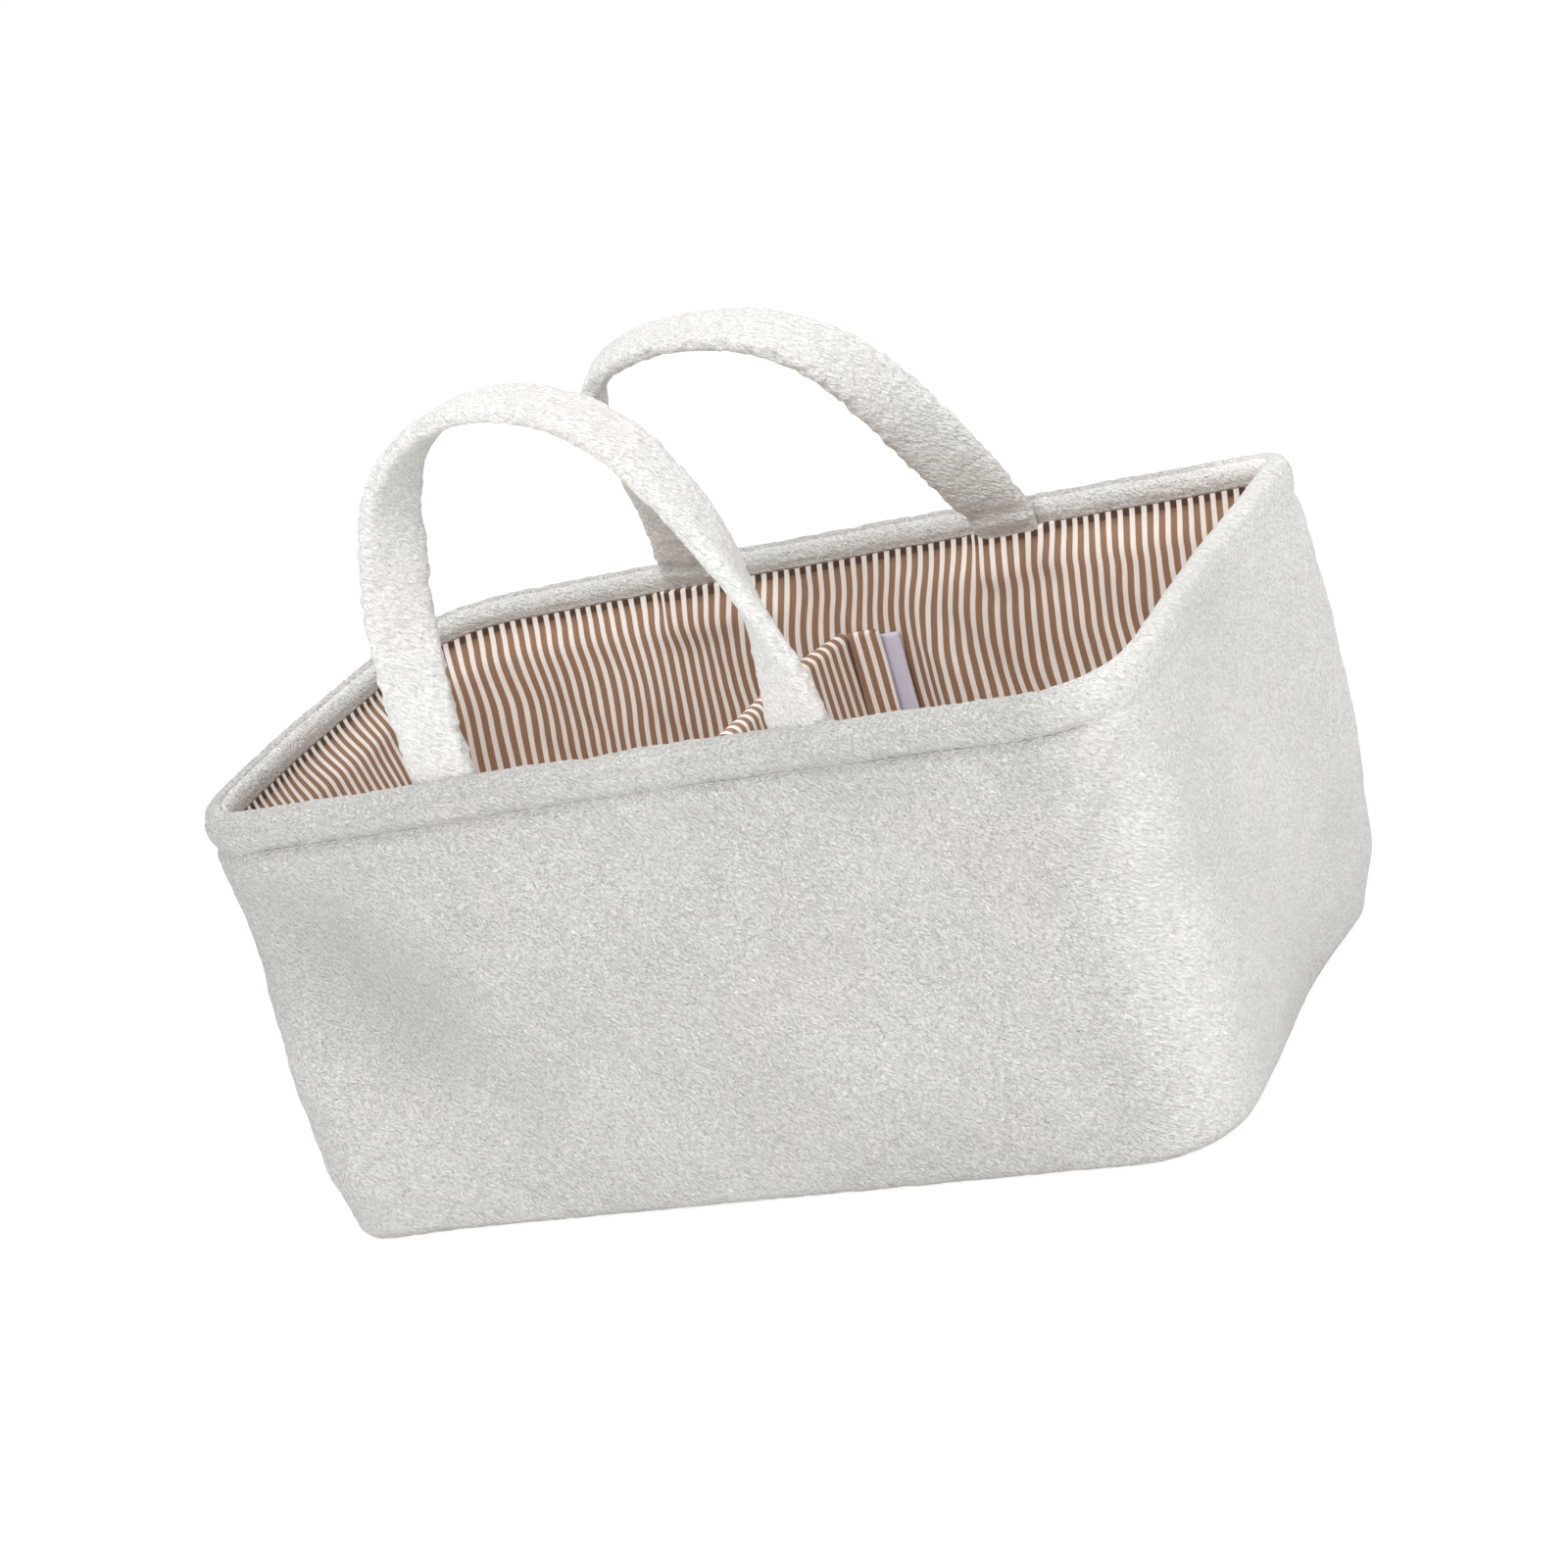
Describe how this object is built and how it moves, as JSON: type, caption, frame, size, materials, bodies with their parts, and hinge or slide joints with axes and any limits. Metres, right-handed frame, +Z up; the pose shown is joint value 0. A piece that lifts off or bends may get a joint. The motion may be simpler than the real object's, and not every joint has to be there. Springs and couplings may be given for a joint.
{
  "type": "fabric diaper caddy",
  "caption": "Open-topped soft fabric caddy with a striped lining, two strap handles that fold and a lift-out divider with tape tabs.",
  "frame": {"origin": "on the ground, under the middle of the box round the whole caddy", "axes": "+Z up, +X along the caddy's length to the right as seen from its front, -Y towards the front, where the taller handle stands"},
  "size_m": [0.38, 0.21, 0.3159],
  "materials": {
    "fleece": "deep curly looped pile, off-white",
    "padding": "white needle-punched wadding",
    "striped_lining": "plain woven cotton with narrow brown and cream stripes",
    "strap_core": "white woven webbing",
    "hook_tape": "fine nylon hooks, pale lavender white",
    "loop_tape": "brushed nylon loops, pale lavender white"
  },
  "bodies": {
    "basket": {"outer_base": "fleece", "base_padding": "padding", "lining_base": "striped_lining", "outer_front_panel": "fleece", "padding_front": "padding", "lining_front": "striped_lining", "outer_back_panel": "fleece", "padding_back": "padding", "lining_back": "striped_lining", "outer_left_end": "fleece", "padding_left": "padding", "lining_left": "striped_lining", "outer_right_end": "fleece", "padding_right": "padding", "lining_right": "striped_lining", "front_handle_left_root": "fleece", "front_handle_right_root": "fleece", "back_handle_left_root": "fleece", "back_handle_right_root": "fleece", "front_loop_tape": "loop_tape", "back_loop_tape": "loop_tape"},
    "front_handle": {"front_handle_cover": "fleece", "front_handle_core": "strap_core"},
    "back_handle": {"back_handle_cover": "fleece", "back_handle_core": "strap_core"},
    "divider": {"divider_cover": "striped_lining", "divider_core": "padding"},
    "front_tab": {"divider_front_tab": "striped_lining", "front_hook_tape": "hook_tape"},
    "back_tab": {"divider_back_tab": "striped_lining", "back_hook_tape": "hook_tape"}
  },
  "joints": [
    {"name": "front_handle_fold", "type": "hinge", "parent": "basket", "child": "front_handle", "pos_m": [-0.007, -0.1, 0.176], "axis": [1, 0, 0], "range_deg": [-33, 143]},
    {"name": "back_handle_fold", "type": "hinge", "parent": "basket", "child": "back_handle", "pos_m": [0.01, 0.1, 0.176], "axis": [1, 0, 0], "range_deg": [-165, 11]},
    {"name": "divider_lift", "type": "slide", "parent": "basket", "child": "divider", "axis": [0, 0, 1], "range_m": [0, 0.105]},
    {"name": "front_tab_peel", "type": "hinge", "parent": "divider", "child": "front_tab", "pos_m": [-0.02541, -0.09145, 0.0263], "axis": [0, 0, 1], "range_deg": [0, 75]},
    {"name": "back_tab_peel", "type": "hinge", "parent": "divider", "child": "back_tab", "pos_m": [-0.00018, 0.07954, 0.0263], "axis": [-0.0115, -0.0793, -0.9968], "range_deg": [0, 90]}
  ]
}
